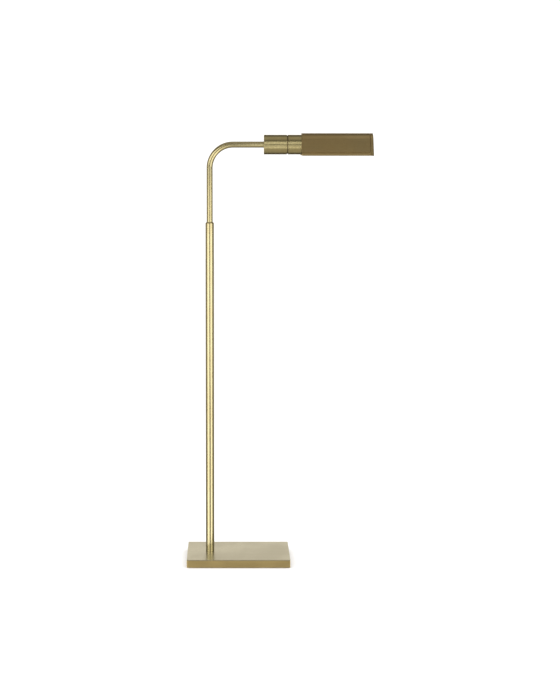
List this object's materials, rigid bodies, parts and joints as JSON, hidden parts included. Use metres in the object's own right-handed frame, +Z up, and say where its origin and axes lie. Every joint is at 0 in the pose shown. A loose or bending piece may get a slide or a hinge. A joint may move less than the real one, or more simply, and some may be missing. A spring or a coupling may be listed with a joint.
{
  "type": "adjustable arm floor lamp",
  "caption": "Brass reading floor lamp: flat weighted base, upright pole, L-shaped arm that slides and turns in it, and a tent-shaped shade that tilts about the arm's barrel.",
  "frame": {"origin": "on the floor, on the pole's axis, at the felt pad's rest face", "axes": "+Z up along the pole; +X along the arm towards the shade; +Y to the side with the dimmer knob and the cord inlet"},
  "size_m": [0.4805, 0.165, 1.1275],
  "materials": {
    "brass_plate": "steel plate, brass plated and brushed, satin",
    "burnished_brass": "burnished, semi-gloss",
    "turned_brass": "turned, fine circular lines, satin",
    "shade_brass": "brushed along its length, satin, slightly aged",
    "zinc_steel": "zinc plated",
    "white_nylon": "natural nylon",
    "black_plastic": "moulded, matt",
    "felt": "dark felt",
    "opal_glass": "opal, soft white",
    "clear_glass": "clear",
    "filament": "coated light filament"
  },
  "bodies": {
    "stand": {"base_plate": "brass_plate", "felt_pad": "felt", "cord_bushing": "black_plastic", "channel_cover": "zinc_steel", "cover_screws": "zinc_steel", "pole_tube": "burnished_brass", "pole_foot_plug": "zinc_steel", "foot_nipple": "zinc_steel", "foot_washer": "zinc_steel", "foot_nut": "zinc_steel", "pole_ferrule": "burnished_brass", "friction_bush": "white_nylon"},
    "slider": {"guide_bush": "white_nylon"},
    "arm": {"arm_tube": "burnished_brass", "arm_clips": "zinc_steel", "arm_plug": "burnished_brass", "arm_nipple": "zinc_steel", "arm_washer": "zinc_steel", "arm_nut": "zinc_steel", "rear_barrel": "turned_brass", "barrel_bulkhead": "turned_brass", "stop_pin": "zinc_steel", "dimmer_body": "black_plastic", "dimmer_nut": "turned_brass"},
    "head": {"front_barrel": "turned_brass", "swivel_washer": "turned_brass", "swivel_spindle": "zinc_steel", "disc_spring": "zinc_steel", "swivel_nut": "zinc_steel", "spindle_locknut": "zinc_steel", "socket_body": "black_plastic", "socket_shell": "burnished_brass", "socket_contact": "burnished_brass", "socket_lead": "black_plastic", "shade_ring": "black_plastic", "shade_shell": "shade_brass", "shade_gable": "shade_brass", "shade_end_cap": "shade_brass", "bulb_cap": "zinc_steel", "bulb_glass": "opal_glass", "bulb_stem": "clear_glass", "bulb_filaments": "filament"},
    "knob": {"dimmer_shaft": "zinc_steel", "dimmer_knob": "turned_brass", "knob_screw": "zinc_steel"}
  },
  "joints": [
    {"name": "height_slide", "type": "slide", "parent": "stand", "child": "slider", "axis": [0, 0, 1], "range_m": [-0.13, 0.16]},
    {"name": "arm_swivel", "type": "hinge", "parent": "slider", "child": "arm", "pos_m": [0, 0, 0.663], "axis": [0, 0, 1], "range_deg": [-170, 170]},
    {"name": "shade_tilt", "type": "hinge", "parent": "arm", "child": "head", "pos_m": [0.1995, 0, 1.098], "axis": [1, 0, 0], "range_deg": [-90, 90]},
    {"name": "dimmer_turn", "type": "hinge", "parent": "arm", "child": "knob", "pos_m": [0.168, 0.03, 1.098], "axis": [0, 1, 0], "range_deg": [0, 280]}
  ]
}
